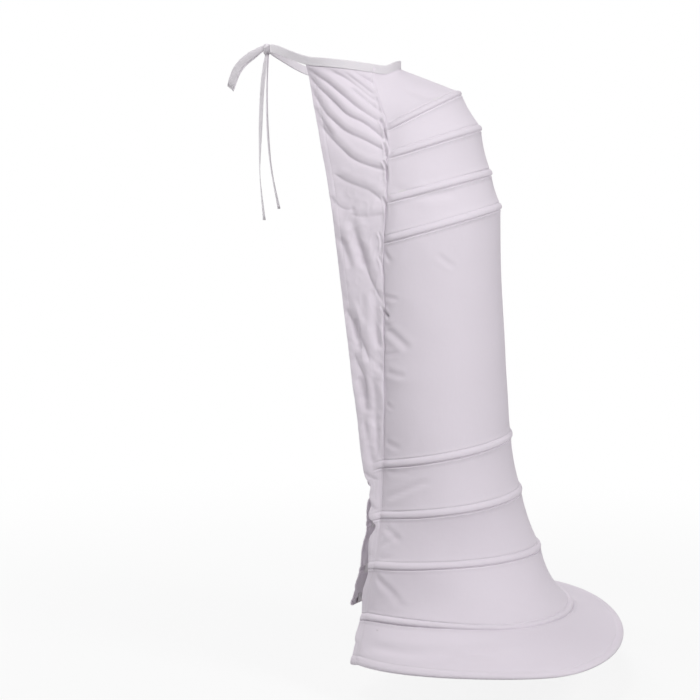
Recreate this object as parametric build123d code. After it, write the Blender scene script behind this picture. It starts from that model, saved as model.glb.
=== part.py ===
from build123d import *
import os
from dataclasses import dataclass
from itertools import pairwise
from math import asin, atan2, cos, pi, radians, sin, tan

# Trained bustle crinoline of the 1870s: a half skirt of white cotton, open in front, that eight
# flat steel hoops in sewn channels and a ninth steel in the hem hold out behind the wearer.
# Millimetres. The origin is the centre of the waist opening. -Y is the wearer's front, +Y the
# train, +X the wearer's left and +Z up.

# Materials
cloth = 1.0                 # cotton panel
tape = 0.8                  # twill tape of the casings, facing and inner ties
steel_width = 6.0
steel_thickness = 1.2
tip_length = 11.0
tip_wall = 0.4
cap_thickness = steel_thickness + 2 * tip_wall

# Waistband: a tape folded over the panels' top edges and tied in front
waist_half_width = 140.0
waist_half_depth = 106.0
band_height = 13.0
band_thickness = cloth + 2 * tape
band_tuck = 8.0             # how far the panels reach up into the fold
band_front, band_hip, band_rear, band_back = 11.0, -17.0, -29.0, -15.0     # height of its middle
hip_y, rear_y = -41.0, 79.0
band_line = [
    (-waist_half_depth, band_front), (hip_y, band_hip), (rear_y, band_rear), (waist_half_depth, band_back),
]
front_edge_angle = 67.0     # degrees round the waist, from the centre front
seam_angle = 123.4

# Hoop channels
steel_side_room = 3.0       # each edge of a steel to the stitch line beside it
steel_top_room = 1.4        # over a tip, under the ridge
channel_half = steel_width / 2 + steel_side_room
tape_margin = 3.0           # casing tape outside each stitch line
ridge_height = cap_thickness + steel_top_room    # how far the cloth stands out over a hoop
ridge_top = steel_width     # flat crown of the ridge
steel_end_gap = 9.0         # seam to the tip of a steel

# Hem
hem_side_room = 4.0         # each edge of the hem steel to the stitch line or the edge of the hem
hem_top_room = 0.2          # over a tip, under the panel
facing_margin = 6.0         # hem facing above its stitch line
hem_stitch = steel_width + 2 * hem_side_room
facing_depth = hem_stitch + facing_margin
hem_space = cap_thickness + hem_top_room

# Ties
ribbon_width = 12.0
ribbon_thickness = 1.0
knot_size = Vector(20.0, 14.0, 16.0)
knot_forward = 5.7          # middle of the knot, in front of the waist oval
knot_centre = Vector(0.0, -waist_half_depth - knot_forward, band_front)
knot_round = 3.0
inner_tie_height = 12.0
inner_tie_drop = 24.0       # below the hoop whose shape it holds
inner_tie_place = 0.02      # share of the way from one seam to the other
inner_ties = {2: 50.0, 4: 46.0, 6: 30.0, 8: 26.0}    # hoop number: how far it bows back

row_points = 13             # points that each row of cloth is drawn through
side_fullness = 8.0         # outward swell of a side panel at the first hoop
fullness_fade = 0.7         # what is left of that swell one hoop further down


@dataclass
class Hoop:
    half_width: float
    widest_y: float         # the oval is widest here
    back_y: float           # centre back
    front_reach: float      # half length of the oval's front part
    seam_y: float           # the hoop ends here, at the side seam
    back_z: float
    tilt: float             # rise towards the back, as a slope
    edge_x: float           # front edge of the side panel beside this hoop
    edge_y: float


hoops = [
    Hoop(146.0, 87.5, 201.0, 120.0, 81.0, -57.0, 0.52, 148.0, -18.0),
    Hoop(160.0, 90.0, 234.0, 120.0, 83.0, -113.5, 0.32, 154.0, -10.0),
    Hoop(170.0, 103.0, 250.0, 120.0, 80.0, -184.5, 0.26, 160.0, 0.0),
    Hoop(180.0, 118.0, 266.5, 125.0, 77.0, -238.0, 0.27, 164.0, 6.0),
    Hoop(195.0, 142.0, 285.0, 140.0, 77.0, -603.0, 0.14, 170.0, 46.0),
    Hoop(200.0, 148.0, 301.0, 163.0, 74.0, -692.0, 0.08, 175.0, 54.0),
    Hoop(205.0, 120.0, 332.0, 157.0, 64.0, -785.0, 0.0, 186.0, 56.0),
    Hoop(240.0, 215.0, 383.0, 265.0, 51.0, -879.0, -0.04, 183.0, 42.5),
    Hoop(356.0, 307.5, 466.0, 345.5, 36.0, -907.0, 0.06, 209.0, 27.6),
]
edge_drop = 0.3             # fall of the side panel's rows from the seam to the front edge
hem = len(hoops)            # number of the last hoop, which lies in the hem


def ruled(first, second):
    return Face.make_surface_from_curves(first, second)


def curve(points):
    """A smooth line through evenly counted points, so that rows match each other."""
    steps = len(points) - 1
    return Edge.make_spline(points, parameters=[i / steps for i in range(steps + 1)])


def layered(outer_rows, inner_rows):
    """Closed solid between two sheets, each straight from one of its rows to the next."""
    faces = []
    for rows in (outer_rows, inner_rows):
        curves = [curve(row) for row in rows]
        faces += [ruled(a, b) for a, b in pairwise(curves)]
    for end in (0, -1):
        faces.append(ruled(curve(outer_rows[end]), curve(inner_rows[end])))
        ribs = [Edge.make_line(outer[end], inner[end]) for outer, inner in zip(outer_rows, inner_rows)]
        faces += [ruled(a, b) for a, b in pairwise(ribs)]
    return Solid(Shell(faces))


def largest(shape):
    return max(shape.solids(), key=lambda solid: solid.volume)


def samples(count=row_points):
    return [i / (count - 1) for i in range(count)]


# Lines that the cloth follows. Places along a hoop run from 0 at the left seam to 1 at the right.
def band_middle(y):
    for (y0, z0), (y1, z1) in pairwise(band_line):
        if y <= y1:
            return z0 + (z1 - z0) * (y - y0) / (y1 - y0)
    return band_line[-1][1]


def waist_point(angle, outward=0.0, rise=0.0):
    """Point on the waist oval, angle in degrees from the centre front towards the wearer's left."""
    x, y = waist_half_width * sin(radians(angle)), -waist_half_depth * cos(radians(angle))
    away = Vector(x / waist_half_width**2, y / waist_half_depth**2, 0).normalized()
    return Vector(x, y, band_middle(y) + rise) + away * outward


def seam_to_seam(place):
    return seam_angle + (360.0 - 2.0 * seam_angle) * place


def hoop_point(number, place):
    hoop = hoops[number - 1]
    start = -asin((hoop.widest_y - hoop.seam_y) / hoop.front_reach)
    side = 1.0 if place < 0.5 else -1.0
    angle = start + (pi / 2 - start) * (1.0 - abs(1.0 - 2.0 * place))
    reach = hoop.back_y - hoop.widest_y if angle > 0 else hoop.front_reach
    y = hoop.widest_y + reach * sin(angle)
    return Vector(side * hoop.half_width * cos(angle), y, hoop.back_z + hoop.tilt * (y - hoop.back_y))


def cloth_line(number, place):
    """Point of the outer surface on the waist, number 0, or on a hoop."""
    if number:
        return hoop_point(number, place)
    return waist_point(seam_to_seam(place), cloth / 2, -band_height / 2)


def edge_line(number):
    """Point of the left panel's front edge, on the waist, number 0, or beside a hoop."""
    if number == 0:
        return waist_point(front_edge_angle, cloth / 2, -band_height / 2)
    hoop = hoops[number - 1]
    seam = hoop_point(number, 0.0)
    return Vector(hoop.edge_x, hoop.edge_y, seam.Z - edge_drop * (hoop.seam_y - hoop.edge_y))


def along(number, place):
    """Direction of a hoop from the left seam towards the right one."""
    step = 0.001
    return (cloth_line(number, place + step) - cloth_line(number, place - step)).normalized()


def up_and_down(line, number):
    """Directions in the cloth from a hoop to its neighbours above and below."""
    here = line(number)
    up = (line(number - 1) - here).normalized()
    down = (line(number + 1) - here).normalized() if number < hem else -up
    return up, down


def cloth_slopes(number, place):
    return up_and_down(lambda level: cloth_line(level, place), number)


def hem_frame(place):
    """Edge of the hem, the way up the cloth from it, and its outward direction."""
    up, down = cloth_slopes(hem, place)
    return cloth_line(hem, place), up, down.cross(along(hem, place)).normalized()


# Channels: the cloth stands out as a ridge between two stitch lines
ridge_slope = atan2(ridge_height, channel_half - ridge_top / 2)
mitre = cloth * tan(ridge_slope / 2)


def channel_frame(number, place):
    """Middle, downward direction and outward direction of a channel, on the casing's outer face."""
    if number == hem:
        edge, up, away = hem_frame(place)
        return edge + up * hem_stitch / 2 - away * (cloth + hem_space), -up, away
    here = cloth_line(number, place)
    up, down = cloth_slopes(number, place)
    lengthwise = (down - up).normalized()
    away = lengthwise.cross(along(number, place)).normalized()
    return here + (up + down) * channel_half / 2 - away * cloth, lengthwise, away


def channel_rows(number, place):
    """Outer and inner points across a hoop, and the same for its flat stitched margins."""
    here = cloth_line(number, place)
    up, down = cloth_slopes(number, place)
    middle, lengthwise, away = channel_frame(number, place)
    heading = along(number, place)
    above, below = (-up).cross(heading).normalized(), down.cross(heading).normalized()
    top_margin = here + up * (channel_half + tape_margin)
    top_stitch = here + up * channel_half
    bottom_stitch = here + down * channel_half
    bottom_margin = here + down * (channel_half + tape_margin)
    crown = middle + away * (cloth + ridge_height)
    top_crown, bottom_crown = crown - lengthwise * ridge_top / 2, crown + lengthwise * ridge_top / 2
    inset = lengthwise * mitre
    return [
        (top_margin, top_margin - above * cloth),
        (top_stitch, top_stitch - away * cloth + inset),
        (top_crown, top_crown - away * cloth + inset),
        (bottom_crown, bottom_crown - away * cloth - inset),
        (bottom_stitch, bottom_stitch - away * cloth - inset),
        (bottom_margin, bottom_margin - below * cloth),
    ]


def hem_rows(place):
    """Outer and inner points at the facing's top, the hem stitches and the hem's edge."""
    edge, up, away = hem_frame(place)
    points = [edge + up * height for height in (facing_depth, hem_stitch, 0.0)]
    return [(point, point - away * cloth) for point in points]


def waist_rows(angle):
    """Outer and inner points of a panel's top edge in the band, and of the band's lower edge."""
    low = -band_height / 2
    return [
        (waist_point(angle, cloth / 2, rise), waist_point(angle, -cloth / 2, rise))
        for rise in (low + band_tuck, low)
    ]


def transposed(columns):
    """Turns lines down the cloth into rows round it, outer and inner."""
    rows = list(zip(*columns))
    return [[pair[0] for pair in row] for row in rows], [[pair[1] for pair in row] for row in rows]


def back_column(place):
    column = waist_rows(seam_to_seam(place))
    for number in range(1, hem):
        column += channel_rows(number, place)
    return column + hem_rows(place)


def back_panel():
    return layered(*transposed([back_column(place) for place in samples()]))


# Side panel: from the seam forwards to the front edge, narrowing towards the hem
def edge_stations():
    """Outer points down the front edge, level with the seam's flat rows, and each one's hoop."""
    stations = []
    for number in range(1, hem + 1):
        here = edge_line(number)
        up, down = up_and_down(edge_line, number)
        if number == hem:
            stations += [(here + up * height, number) for height in (facing_depth, hem_stitch, 0.0)]
        else:
            for way, reach in ((up, tape_margin), (up, 0.0), (down, 0.0), (down, tape_margin)):
                stations.append((here + way * (channel_half + reach), number))
    return stations


def seam_stations():
    """The back panel's outer and inner points down the left seam, without the ridges."""
    stations = []
    for number in range(1, hem):
        rows = channel_rows(number, 0.0)
        stations += rows[:2] + rows[4:]
    return stations + hem_rows(0.0)


def side_row(edge, seam_outer, seam_inner, swell):
    """One row of the side panel, from its front edge to the seam."""
    seam_away = (seam_outer - seam_inner).normalized()
    edge_away = Vector(1, 0, 0)
    row = []
    for share in samples(5):
        away = (edge_away * (1 - share) + seam_away * share).normalized()
        point = edge * (1 - share) + seam_outer * share + away * swell * 4 * share * (1 - share)
        inner = seam_inner if share == 1 else point - away * cloth
        row.append((point, inner))
    return row


def side_panel():
    turn = seam_angle - front_edge_angle
    rows = [list(row) for row in zip(*(waist_rows(front_edge_angle + turn * share) for share in samples(5)))]
    for (edge, number), (seam_outer, seam_inner) in zip(edge_stations(), seam_stations()):
        swell = side_fullness * fullness_fade ** (number - 1)
        rows.append(side_row(edge, seam_outer, seam_inner, swell))
    return layered(*([[pair[i] for pair in row] for row in rows] for i in (0, 1)))


def casing(number):
    """Tape inside the cloth that closes a hoop's channel."""
    outer, inner = [], []
    for place in samples():
        rows = channel_rows(number, place)
        away = channel_frame(number, place)[2]
        flats = [pair for i, pair in enumerate(rows) if i not in (2, 3)]
        outer.append([point for _, point in flats])
        margins = [(flats[0][0] - flats[0][1]).normalized(), away, away, (flats[3][0] - flats[3][1]).normalized()]
        inner.append([point - way * tape for (_, point), way in zip(flats, margins)])
    return layered(*([list(row) for row in zip(*columns)] for columns in (outer, inner)))


def hem_facing():
    """Tape turned up inside the hem: sewn on above, standing off over the steel, closed at the edge."""
    drop = cloth + hem_space
    step = tape * tan(pi / 8)
    outline = [
        (facing_depth, cloth, facing_depth, cloth + tape),
        (hem_stitch, cloth, hem_stitch, cloth + tape),
        (hem_stitch - hem_space, drop, hem_stitch - hem_space + step, drop + tape),
        (tape, drop, 0.0, drop + tape),
        (tape, cloth, 0.0, cloth),
    ]
    columns = []
    for place in samples():
        edge, up, away = hem_frame(place)
        columns.append([(edge + up * a - away * b, edge + up * c - away * d) for a, b, c, d in outline])
    return layered(*transposed(columns))


# Steels
def channel_strip(number, start, length, half_width, near, far, count):
    """Strip along a channel, from a distance behind the left seam, between two depths over the casing."""
    frames = [channel_frame(number, place) for place in samples()]
    sheets = []
    for depth in (far, near):
        sheet = []
        for offset in (-half_width, half_width):
            guide = curve([middle + lengthwise * offset + away * depth for middle, lengthwise, away in frames])
            reach = guide.length - 2 * start if length is None else length
            sheet.append([guide @ ((start + reach * share) / guide.length) for share in samples(count)])
        sheets.append(sheet)
    return layered(*sheets)


def steel(number):
    """Flat steel that ends the same distance short of both seams."""
    start = steel_end_gap + tip_wall
    return channel_strip(number, start, None, steel_width / 2, tip_wall, tip_wall + steel_thickness, 25)


def steel_tips(number, casing_solid, steel_solid):
    """Crimped caps on both ends of a steel, seated on the casing."""
    half_width = steel_width / 2 + tip_wall
    cap = channel_strip(number, steel_end_gap, tip_length, half_width, -tip_wall, cap_thickness, 5)
    cap = largest(cap - casing_solid - steel_solid)
    return [cap, cap.mirror(Plane.YZ)]


# Waistband and ties
def waistband(knot_solid, panels):
    """Folded tape round the waist, with the panels' top edges between its layers."""
    tie_start = 1.5
    angles = [tie_start + (360 - 2 * tie_start) * share for share in samples(37)]
    sheets = [
        [[waist_point(a, side * band_thickness / 2, rise * band_height / 2) for a in angles] for rise in (1, -1)]
        for side in (1, -1)
    ]
    band = layered(*sheets) - knot_solid
    for panel in panels:
        band = band - panel
    return largest(band)


def knot():
    block = Pos(*knot_centre) * Box(*knot_size)
    return fillet(block.edges(), knot_round).solid()


def ribbon(route, face_direction):
    """Flat tape whose middle line has straight runs and arcs, its width along face_direction."""
    radii = []
    for before, here, after in zip(route, route[1:], route[2:]):
        shorter = min((here - before).length, (after - here).length)
        turn = radians((here - before).get_angle(after - here))
        radii.append(0.45 * shorter / tan(turn / 2))
    path = FilletPolyline(*route, radius=radii)
    print("ribbon radii", [round(radius, 1) for radius in radii], "length", round(path.length, 1))
    section = Plane(path @ 0, x_dir=face_direction, z_dir=path % 0) * Rectangle(ribbon_width, ribbon_thickness)
    band = sweep(section, path)
    print("ribbon volume share", round(band.volume / (section.area * path.length), 4))
    return band.solid()


def hanging_route(start, turn, steps):
    """Points of a tail that swings in one upright plane, from (forward, down) steps."""
    swing = Vector(sin(radians(turn)), -cos(radians(turn)), 0)
    return [start + swing * forward - Vector(0, 0, down) for forward, down in steps]


left_tail_turn, right_tail_turn = 26.0, 15.0
left_tail_start = knot_centre + Vector(1.0, -0.7, -7.0)
right_tail_start = knot_centre + Vector(-1.0, 2.3, -7.0)
left_tail_steps = [(0, 0), (6, 35), (10, 87), (12, 143), (11, 201), (2, 265)]
right_tail_steps = [(0, 0), (2.5, 39), (3, 89), (0, 139), (-9, 195), (-24, 247)]


def tail(start, turn, steps, knot_solid):
    route = hanging_route(start, turn, steps)
    return largest(ribbon(route, Vector(cos(radians(turn)), sin(radians(turn)), 0)) - knot_solid)


# The loop leaves the knot forwards and droops. Its points are (out, across) from the knot's front.
loop_start = knot_centre + Vector(0.0, -5.3, 2.0)
loop_droop = 52.0           # degrees below level
loop_steps = [
    (-1, 3), (25, 7.5), (51, 10.5), (75.8, 10), (81.5, 0), (75.8, -10), (51, -10.5), (25, -7.5), (-1, -3),
]


def bow_loop(knot_solid):
    out = Vector(0, -cos(radians(loop_droop)), -sin(radians(loop_droop)))
    route = [loop_start + out * a + Vector(b, 0, 0) for a, b in loop_steps]
    band = ribbon(route, Vector(0, -sin(radians(loop_droop)), cos(radians(loop_droop))))
    return largest(band - knot_solid)


def inner_tie(number, bow, panel):
    """Tape across the inside, sewn to the back panel just behind both seams."""
    past_cloth = 4.0
    down = cloth_slopes(number, inner_tie_place)[1]
    end = cloth_line(number, inner_tie_place) + down * inner_tie_drop
    half = end.X + past_cloth
    sheets = []
    for offset in (tape / 2, -tape / 2):
        sheet = []
        for rise in (inner_tie_height / 2, -inner_tie_height / 2):
            row = []
            for share in samples(9):
                x = half * (1 - 2 * share)
                slope = -2 * bow * x / end.X**2
                away = Vector(-slope, 1, 0).normalized()
                row.append(Vector(x, end.Y + bow * (1 - (x / end.X) ** 2), end.Z + rise) + away * offset)
            sheet.append(row)
        sheets.append(sheet)
    return largest(layered(*sheets) - panel)


def build():
    nodes = {}
    back = back_panel()
    left_side = side_panel()
    right_side = left_side.mirror(Plane.YZ)
    nodes["back_panel"] = back
    nodes["left_side_panel"] = left_side
    nodes["right_side_panel"] = right_side
    nodes["tie_knot"] = knot()
    nodes["waistband"] = waistband(nodes["tie_knot"], (back, left_side, right_side))
    nodes["tie_loop"] = bow_loop(nodes["tie_knot"])
    nodes["left_tie_tail"] = tail(left_tail_start, left_tail_turn, left_tail_steps, nodes["tie_knot"])
    nodes["right_tie_tail"] = tail(right_tail_start, right_tail_turn, right_tail_steps, nodes["tie_knot"])
    tips = []
    for number in range(1, hem + 1):
        cover = hem_facing() if number == hem else casing(number)
        spring = steel(number)
        tips += steel_tips(number, cover, spring)
        nodes["hem_facing" if number == hem else f"casing_{number}"] = cover
        nodes["hem_steel" if number == hem else f"hoop_steel_{number}"] = spring
    nodes["steel_tips"] = Compound(tips)
    for count, (number, bow) in enumerate(inner_ties.items(), 1):
        nodes[f"inner_tie_{count}"] = inner_tie(number, bow, back)
    return nodes


os.makedirs("parts", exist_ok=True)
for name, shape in build().items():
    export_step(shape, f"parts/{name}.step")
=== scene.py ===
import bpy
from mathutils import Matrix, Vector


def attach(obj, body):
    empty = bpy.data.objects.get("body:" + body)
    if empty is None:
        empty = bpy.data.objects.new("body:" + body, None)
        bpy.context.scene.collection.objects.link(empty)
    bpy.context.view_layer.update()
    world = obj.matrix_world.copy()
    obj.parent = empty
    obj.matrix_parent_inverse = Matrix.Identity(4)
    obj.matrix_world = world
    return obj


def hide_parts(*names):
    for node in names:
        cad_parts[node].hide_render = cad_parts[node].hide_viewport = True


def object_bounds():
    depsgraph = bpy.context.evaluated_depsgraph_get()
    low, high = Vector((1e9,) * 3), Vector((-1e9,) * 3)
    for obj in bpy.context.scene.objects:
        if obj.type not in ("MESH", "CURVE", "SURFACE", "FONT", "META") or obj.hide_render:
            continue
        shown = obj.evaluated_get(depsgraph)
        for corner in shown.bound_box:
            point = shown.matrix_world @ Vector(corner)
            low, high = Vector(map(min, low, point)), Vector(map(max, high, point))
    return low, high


bl_info = {
    "name": "Trained Bustle Crinoline",
    "version": (1, 0, 0),
    "blender": (4, 5, 0),
    "location": "3D View > Sidebar > Crinoline",
    "description": "Sews the cotton, tapes and ties of a trained bustle crinoline over its steel hoops",
    "category": "Add Mesh",
}

from collections import namedtuple
from math import asin, cos, pi, radians, sin

import bpy
import numpy as np
from bpy.props import FloatProperty, FloatVectorProperty, PointerProperty
from bpy.types import Operator, Panel, PropertyGroup
from mathutils import Euler, Vector, noise

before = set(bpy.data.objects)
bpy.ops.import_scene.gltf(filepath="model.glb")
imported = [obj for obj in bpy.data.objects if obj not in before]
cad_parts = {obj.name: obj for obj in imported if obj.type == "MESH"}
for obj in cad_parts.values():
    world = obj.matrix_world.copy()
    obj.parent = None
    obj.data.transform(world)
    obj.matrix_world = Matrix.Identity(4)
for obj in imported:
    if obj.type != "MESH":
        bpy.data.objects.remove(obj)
cad_box = [list(corner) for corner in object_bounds()]

# Metres and degrees, in the frame's own directions: +X the left as worn, +Y the train, +Z up
CLOTH = 0.001
TAPE = 0.0008
CLEARANCE = 0.00005
WAIST_HALF_WIDTH = 0.140
WAIST_HALF_DEPTH = 0.106
BAND_HEIGHT = 0.013
BAND_TUCK = 0.008
BAND_LINE_Y = (-0.106, -0.041, 0.079, 0.106)
BAND_LINE_Z = (0.011, -0.017, -0.029, -0.015)
FRONT_EDGE_ANGLE = 67.0
SEAM_ANGLE = 123.4
CHANNEL_HALF = 0.006
HEM_STITCH = 0.014
HEM_SPACE = 0.0022
FACING_DEPTH = 0.020
EDGE_DROP = 0.3
RIBBON_WIDTH = 0.012
UPPER_HOOPS = 4

# Heights and reaches of the shapes that steels, stitches and folds give the cloth
RIDGE_HALF = 0.0057
CASING_MARGIN = 0.0096
HEM_SWELL = 0.0009
HEM_ROLL = 0.0056
HEM_ROLL_DEPTH = 0.0031
SEAM_SHIFT_REACH = 0.022
EDGE_SHIFT_REACH = 0.038

# Ovals of the hoops and the hem. tilt is the rise for each metre back, and edge_x and edge_y are the place
# of the left side panel's front edge beside the hoop.
Hoop = namedtuple("Hoop", "half_width widest_y back_y front_reach seam_y back_z tilt edge_x edge_y")
HOOPS = (
    Hoop(0.146, 0.0875, 0.201, 0.120, 0.081, -0.057, 0.52, 0.148, -0.018),
    Hoop(0.160, 0.090, 0.234, 0.120, 0.083, -0.1135, 0.32, 0.154, -0.010),
    Hoop(0.170, 0.103, 0.250, 0.120, 0.080, -0.1845, 0.26, 0.160, 0.0),
    Hoop(0.180, 0.118, 0.2665, 0.125, 0.077, -0.238, 0.27, 0.164, 0.006),
    Hoop(0.195, 0.142, 0.285, 0.140, 0.077, -0.603, 0.14, 0.170, 0.046),
    Hoop(0.200, 0.148, 0.301, 0.163, 0.074, -0.692, 0.08, 0.175, 0.054),
    Hoop(0.205, 0.120, 0.332, 0.157, 0.064, -0.785, 0.0, 0.186, 0.056),
    Hoop(0.240, 0.215, 0.383, 0.265, 0.051, -0.879, -0.04, 0.183, 0.0425),
    Hoop(0.356, 0.3075, 0.466, 0.3455, 0.036, -0.907, 0.06, 0.209, 0.0276),
)
HEM = len(HOOPS)

# Rows of cloth: steps across a channel, steps up from the hem's edge, and rows in each bay
CHANNEL_STEPS = np.array([-9.6, -8.8, -7.2, -6.3, -5.7, -5.0, -3.8, -2.4, -0.8]) / 1000
CHANNEL_STEPS = np.concatenate([CHANNEL_STEPS, -CHANNEL_STEPS[::-1]])
HEM_STEPS = np.array([20, 17, 14.6, 14, 13.2, 11, 8.5, 6, 4.2, 3, 2.1, 1.3, 0.6, 0.2, 0]) / 1000
BACK_BAYS = (14, 8, 9, 7, 84, 12, 14, 18, 11)
SIDE_BAYS = (58, 20, 24, 17, 140, 28, 30, 32, 20)
SEAM_STEPS = np.array([0, 0.8, 2, 4, 6, 7.5, 9, 11, 14]) / 1000
FRONT_HEM_STEPS = np.array([0, 0.7, 2.5, 5, 7.5, 8.6, 9.2, 10, 12]) / 1000
FRONT_HEM = 0.009
ROW_PLACES = np.linspace(0, 1, 13)

# The photograph's camera
EYE = np.array([3.0, 0.0258, -0.229])
PITCH = radians(4.61)
FOCAL_PIXELS = 1860.0
MIDDLE_PIXEL = 350.0

# A crease's depth is in millimetres, and its width and line are in pixels of the photograph
Crease = namedtuple("Crease", "depth width line")
Rows = namedtuple("Rows", "hoop step bay share")


def unit(vectors):
    return vectors / np.linalg.norm(vectors, axis=-1, keepdims=True)


def smooth_step(values):
    share = np.clip(values, 0, 1)
    return share * share * (3 - 2 * share)


def bell(values):
    return np.exp(-values * values)


# Lines that the cloth follows. Places along a hoop run from 0 at the left seam to 1 at the right.
def drawn(points, places):
    """Places from 0 to 1 on the smooth line through evenly counted points, as the frame's rows are drawn."""
    steps = len(points) - 1
    slopes = np.zeros_like(points)
    slopes[0] = (-11 * points[0] + 18 * points[1] - 9 * points[2] + 2 * points[3]) / 6
    slopes[-1] = (11 * points[-1] - 18 * points[-2] + 9 * points[-3] - 2 * points[-4]) / 6
    known = 3 * (points[2:] - points[:-2])
    known[0] -= slopes[0]
    known[-1] -= slopes[-1]
    bend = 4 * np.eye(steps - 1) + np.eye(steps - 1, k=1) + np.eye(steps - 1, k=-1)
    slopes[1:-1] = np.linalg.solve(bend, known)
    at = np.asarray(places) * steps
    span = np.clip(at.astype(int), 0, steps - 1)
    t = (at - span)[:, None]
    start, end = points[span], points[span + 1]
    rise, fall = slopes[span], slopes[span + 1]
    return (start * (1 + 2 * t) * (1 - t) ** 2 + rise * t * (1 - t) ** 2
            + end * t * t * (3 - 2 * t) + fall * t * t * (t - 1))


def waist_line(degrees, outward=0.0, rise=0.0):
    turn = np.radians(degrees)
    x, y = WAIST_HALF_WIDTH * np.sin(turn), -WAIST_HALF_DEPTH * np.cos(turn)
    away = unit(np.stack([x / WAIST_HALF_WIDTH**2, y / WAIST_HALF_DEPTH**2, np.zeros_like(x)], -1))
    return np.stack([x, y, np.interp(y, BAND_LINE_Y, BAND_LINE_Z) + rise], -1) + away * outward


def hoop_line(number, places):
    hoop = HOOPS[number - 1]
    start = -asin((hoop.widest_y - hoop.seam_y) / hoop.front_reach)
    angle = start + (pi / 2 - start) * (1 - abs(1 - 2 * places))
    reach = np.where(angle > 0, hoop.back_y - hoop.widest_y, hoop.front_reach)
    y = hoop.widest_y + reach * np.sin(angle)
    x = np.sign(0.5 - places) * hoop.half_width * np.cos(angle)
    return np.stack([x, y, hoop.back_z + hoop.tilt * (y - hoop.back_y)], -1)


def cloth_line(number, places):
    """Outer face of the back panel on the waist, number 0, or on a hoop."""
    if number:
        return hoop_line(number, places)
    degrees = SEAM_ANGLE + (360 - 2 * SEAM_ANGLE) * places
    return waist_line(degrees, CLOTH / 2, -BAND_HEIGHT / 2)


def edge_line(number):
    """Front edge of the left side panel on the waist, number 0, or beside a hoop."""
    if number == 0:
        return waist_line(np.array([FRONT_EDGE_ANGLE]), CLOTH / 2, -BAND_HEIGHT / 2)
    hoop = HOOPS[number - 1]
    seam = hoop_line(number, np.array([0.0]))[0]
    return np.array([[hoop.edge_x, hoop.edge_y, seam[2] - EDGE_DROP * (hoop.seam_y - hoop.edge_y)]])


def level_frame(line, number):
    """Points on a level, and the directions in the cloth to the levels above and below."""
    here = line(number)
    up = unit(line(number - 1) - here)
    down = unit(line(number + 1) - here) if number < HEM else -up
    return here, up, down


def across_channel(here, up, down, step):
    """Points beside a hoop, and between its stitch lines on the straight line that joins them."""
    if abs(step) >= CHANNEL_HALF:
        return here + abs(step) * (down if step > 0 else up)
    share = (step / CHANNEL_HALF + 1) / 2
    return here + CHANNEL_HALF * (up * (1 - share) + down * share)


def level_rows(line):
    """The rows across every hoop and at the hem, a list for each level."""
    rows = []
    for number in range(1, HEM + 1):
        here, up, down = level_frame(line, number)
        if number == HEM:
            rows.append([here + up * step for step in HEM_STEPS])
        else:
            rows.append([across_channel(here, up, down, step) for step in CHANNEL_STEPS])
    return rows


def with_bays(levels, bays):
    """One grid of rows, with the cloth straight from each level to the next."""
    rows = list(levels[0])
    for level, count in zip(levels[1:], bays):
        start, end = rows[-1], level[0]
        rows += [start + (end - start) * i / (count + 1) for i in range(1, count + 1)]
        rows += level
    return np.array(rows)


def row_facts(bays):
    """For each row of a panel: its hoop or 0, its step from the hoop, its bay and its share of the bay."""
    facts = [(0, 0.0, 0, 0.0), (0, 0.0, 0, 0.0)]
    for number, count in zip(range(1, HEM + 1), bays):
        facts += [(0, 0.0, number - 1, i / (count + 1)) for i in range(1, count + 1)]
        steps = HEM_STEPS if number == HEM else CHANNEL_STEPS
        facts += [(number, step, number - 1, 0.0) for step in steps]
    return Rows(*(np.array(column)[:, None] for column in zip(*facts)))


def column_places(number):
    """Places of the back panel's columns on a level, close together beside the seams."""
    near = cloth_line(number, np.array([0.0, 0.0001]))
    speed = np.linalg.norm(near[1] - near[0]) / 0.0001
    beside_seam = SEAM_STEPS / speed
    half = np.concatenate([beside_seam, np.linspace(beside_seam[-1], 0.5, 63)[1:]])
    return np.concatenate([half, 1 - half[-2::-1]])


def top_rows(degrees):
    """A panel's two rows inside the waistband."""
    low = -BAND_HEIGHT / 2
    return [waist_line(degrees, CLOTH / 2, rise) for rise in (low + BAND_TUCK, low)]


def back_line(number):
    return cloth_line(number, ROW_PLACES)


def back_base():
    """Outer face of the back panel before its ridges and creases."""
    degrees = SEAM_ANGLE + (360 - 2 * SEAM_ANGLE) * ROW_PLACES
    levels = []
    for number, rows in enumerate([top_rows(degrees), *level_rows(back_line)]):
        places = column_places(number)
        levels.append([drawn(row, places) for row in rows])
    return with_bays(levels, BACK_BAYS)


def side_fit(length):
    """How far the steps beside the edge and the seam shrink where the side panel is narrow."""
    return np.minimum(1, 0.8 * length / (FRONT_HEM_STEPS[-1] + SEAM_STEPS[4]))


def side_shares(length):
    """Places across the side panel, from the front edge at 0 to the seam at 1."""
    near_edge = side_fit(length) * FRONT_HEM_STEPS / length
    near_seam = 1 - side_fit(length) * SEAM_STEPS[4:0:-1] / length
    between = np.linspace(near_edge[-1], near_seam[0], 66)[1:-1]
    return np.concatenate([near_edge, between, near_seam, [1.0]])


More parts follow.
